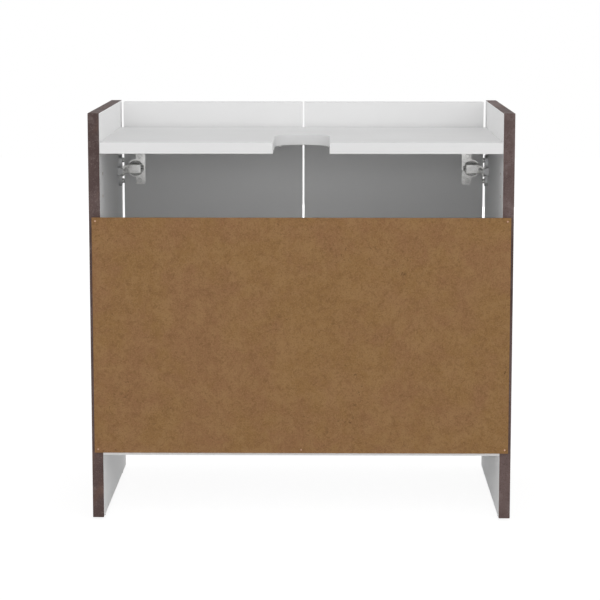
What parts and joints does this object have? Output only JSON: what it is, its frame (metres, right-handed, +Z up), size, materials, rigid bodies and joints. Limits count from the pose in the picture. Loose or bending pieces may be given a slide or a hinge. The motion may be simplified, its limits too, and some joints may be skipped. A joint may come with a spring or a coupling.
{
  "type": "sink base cabinet",
  "caption": "Floor-standing washbasin base cabinet with full-depth sides as legs, lowered notched top board, open upper back and inset doors on concealed cup hinges",
  "frame": {"origin": "centre of the footprint box, on the floor", "axes": "+Z up, the doors face -Y, +X is the right hand of a person facing the doors"},
  "size_m": [0.6, 0.3574, 0.585],
  "materials": {
    "board_white": "satin melamine",
    "board_sides": "matt brown concrete-effect facing outside and on the edges, white inside",
    "hardboard": "raw hardboard",
    "steel": "nickel-plated",
    "zinc": "nickel-plated die-casting",
    "dowel_wood": "raw beech",
    "nail": "coppered",
    "plastic_dark": "moulded",
    "bumper": "soft clear",
    "knob": "brushed"
  },
  "bodies": {
    "carcass": {"side_left": "board_sides", "side_right": "board_sides", "top_board": "board_white", "bottom_board": "board_white", "back_panel": "hardboard", "back_panel_nails": "nail", "board_dowels": "dowel_wood", "board_cam_bolts": "steel", "board_cam_locks": "zinc", "foot_glides": "plastic_dark", "door_bumpers": "bumper", "arm_pins": "steel", "plate_screws": "steel", "arm_screws": "steel", "hinge_arm_left_lower": "steel", "hinge_arm_left_upper": "steel", "mounting_plate_left_lower": "zinc", "mounting_plate_left_upper": "zinc", "hinge_arm_right_lower": "steel", "hinge_arm_right_upper": "steel", "mounting_plate_right_lower": "zinc", "mounting_plate_right_upper": "zinc"},
    "left_outer_links": {"outer_link_left_lower": "steel", "outer_link_left_upper": "steel"},
    "left_inner_links": {"inner_link_left_lower": "steel", "inner_link_left_upper": "steel"},
    "left_door": {"door_left": "board_white", "knob_left": "knob", "knob_screw_left": "steel", "cup_screws_left": "steel", "cup_pins_left": "steel", "hinge_cup_left_lower": "zinc", "hinge_cup_left_upper": "zinc"},
    "right_outer_links": {"outer_link_right_lower": "steel", "outer_link_right_upper": "steel"},
    "right_inner_links": {"inner_link_right_lower": "steel", "inner_link_right_upper": "steel"},
    "right_door": {"door_right": "board_white", "knob_right": "knob", "knob_screw_right": "steel", "cup_screws_right": "steel", "cup_pins_right": "steel", "hinge_cup_right_lower": "zinc", "hinge_cup_right_upper": "zinc"}
  },
  "joints": [
    {"name": "left_outer_links_swing", "type": "hinge", "parent": "carcass", "child": "left_outer_links", "pos_m": [-0.2552, -0.1279, 0.34], "axis": [0, 0, -1], "range_deg": [-49.25, 0]},
    {"name": "left_door_swing", "type": "hinge", "parent": "left_outer_links", "child": "left_door", "pos_m": [-0.269, -0.1408, 0.34], "axis": [0, 0, -1], "range_deg": [0, 139.05]},
    {"name": "left_inner_links_swing", "type": "hinge", "parent": "carcass", "child": "left_inner_links", "pos_m": [-0.2606, -0.1441, 0.34], "axis": [0, 0, -1], "range_deg": [-113.6, 0]},
    {"name": "right_outer_links_swing", "type": "hinge", "parent": "carcass", "child": "right_outer_links", "pos_m": [0.2552, -0.1279, 0.34], "axis": [0, 0, 1], "range_deg": [-49.25, 0]},
    {"name": "right_door_swing", "type": "hinge", "parent": "right_outer_links", "child": "right_door", "pos_m": [0.269, -0.1408, 0.34], "axis": [0, 0, 1], "range_deg": [0, 139.05]},
    {"name": "right_inner_links_swing", "type": "hinge", "parent": "carcass", "child": "right_inner_links", "pos_m": [0.2606, -0.1441, 0.34], "axis": [0, 0, 1], "range_deg": [-113.6, 0]}
  ],
  "couplings": [
    {"joint": "left_outer_links_swing", "follows": "left_door_swing", "ratio": -0.35275},
    {"joint": "left_inner_links_swing", "follows": "left_door_swing", "ratio": -0.81553},
    {"joint": "right_outer_links_swing", "follows": "right_door_swing", "ratio": -0.35275},
    {"joint": "right_inner_links_swing", "follows": "right_door_swing", "ratio": -0.81553}
  ]
}
